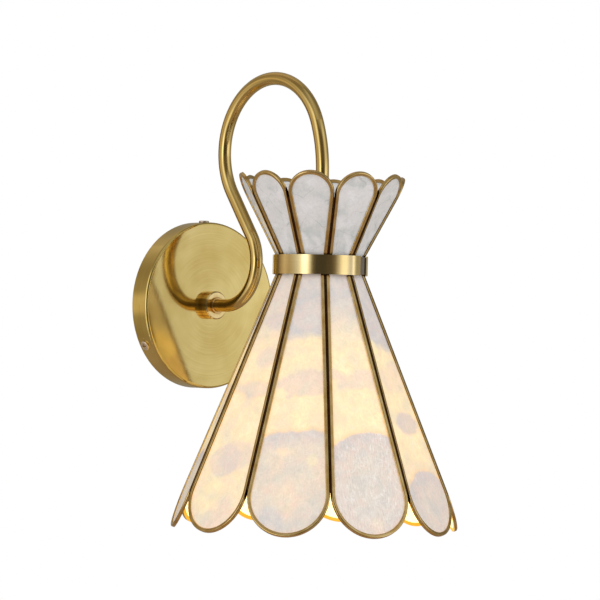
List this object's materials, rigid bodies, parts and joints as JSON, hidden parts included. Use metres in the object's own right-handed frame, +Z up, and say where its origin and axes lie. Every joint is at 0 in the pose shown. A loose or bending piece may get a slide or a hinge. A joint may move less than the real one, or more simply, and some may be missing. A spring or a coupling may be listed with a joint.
{
  "type": "wall sconce",
  "caption": "Wall sconce: a round brass canopy and a looped gooseneck tube carry an hourglass shade of framed, rounded shell petals over a lampholder and globe lamp.",
  "frame": {"origin": "centre of the canopy, on the wall plane", "axes": "+Y points into the wall, the lamp reaches out along -Y, +Z is up"},
  "size_m": [0.2154, 0.249, 0.3472],
  "materials": {
    "brass_brushed": "brushed in fine lines, satin lacquer",
    "brass_tube": "polished, satin lacquer",
    "brass_turned": "turned, fine rings",
    "brass_screw": "bright",
    "frame_brass": "aged, softly rounded edge",
    "plate_steel": "bright zinc plate",
    "dark_strip": "black-brown patina",
    "crown_shell": "polished capiz shell, pearly",
    "bell_shell": "polished capiz shell, lit from inside",
    "block_plastic": "moulded",
    "lead_sheath": "extruded",
    "holder_plastic": "moulded, heat-proof",
    "bulb_metal": "rolled thread, plated",
    "bulb_glass": "opal"
  },
  "bodies": {
    "root": {"arm_collar": "brass_turned", "arm_lock_washers": "plate_steel", "arm_nuts": "brass_screw", "arm_tube": "brass_tube", "bell_petal_frame_01": "frame_brass", "bell_petal_frame_02": "frame_brass", "bell_petal_frame_03": "frame_brass", "bell_petal_frame_04": "frame_brass", "bell_petal_frame_05": "frame_brass", "bell_petal_frame_06": "frame_brass", "bell_petal_frame_07": "frame_brass", "bell_petal_frame_08": "frame_brass", "bell_petal_frame_09": "frame_brass", "bell_petal_frame_10": "frame_brass", "bell_petal_shell_01": "bell_shell", "bell_petal_shell_02": "bell_shell", "bell_petal_shell_03": "bell_shell", "bell_petal_shell_04": "bell_shell", "bell_petal_shell_05": "bell_shell", "bell_petal_shell_06": "bell_shell", "bell_petal_shell_07": "bell_shell", "bell_petal_shell_08": "bell_shell", "bell_petal_shell_09": "bell_shell", "bell_petal_shell_10": "bell_shell", "canopy": "brass_brushed", "canopy_side_screws": "brass_screw", "crown_petal_frame_01": "frame_brass", "crown_petal_frame_02": "frame_brass", "crown_petal_frame_03": "frame_brass", "crown_petal_frame_04": "frame_brass", "crown_petal_frame_05": "frame_brass", "crown_petal_frame_06": "frame_brass", "crown_petal_frame_07": "frame_brass", "crown_petal_frame_08": "frame_brass", "crown_petal_frame_09": "frame_brass", "crown_petal_frame_10": "frame_brass", "crown_petal_shell_01": "crown_shell", "crown_petal_shell_02": "crown_shell", "crown_petal_shell_03": "crown_shell", "crown_petal_shell_04": "crown_shell", "crown_petal_shell_05": "crown_shell", "crown_petal_shell_06": "crown_shell", "crown_petal_shell_07": "crown_shell", "crown_petal_shell_08": "crown_shell", "crown_petal_shell_09": "crown_shell", "crown_petal_shell_10": "crown_shell", "earth_screw": "brass_screw", "lamp_lead": "lead_sheath", "lampholder_body": "holder_plastic", "lampholder_cap": "holder_plastic", "lampholder_contact": "brass_screw", "seam_strips": "dark_strip", "shade_carrier": "plate_steel", "strap_joint_plate": "plate_steel", "terminal_block": "block_plastic", "waist_band": "brass_brushed", "waist_ring": "plate_steel", "wall_plate": "plate_steel"},
    "lamp": {"bulb_cap": "bulb_metal", "bulb_globe": "bulb_glass"}
  },
  "joints": [
    {"name": "lamp_release", "type": "slide", "parent": "root", "child": "lamp", "axis": [0, 0, -1], "range_m": [0, 0.175]}
  ]
}
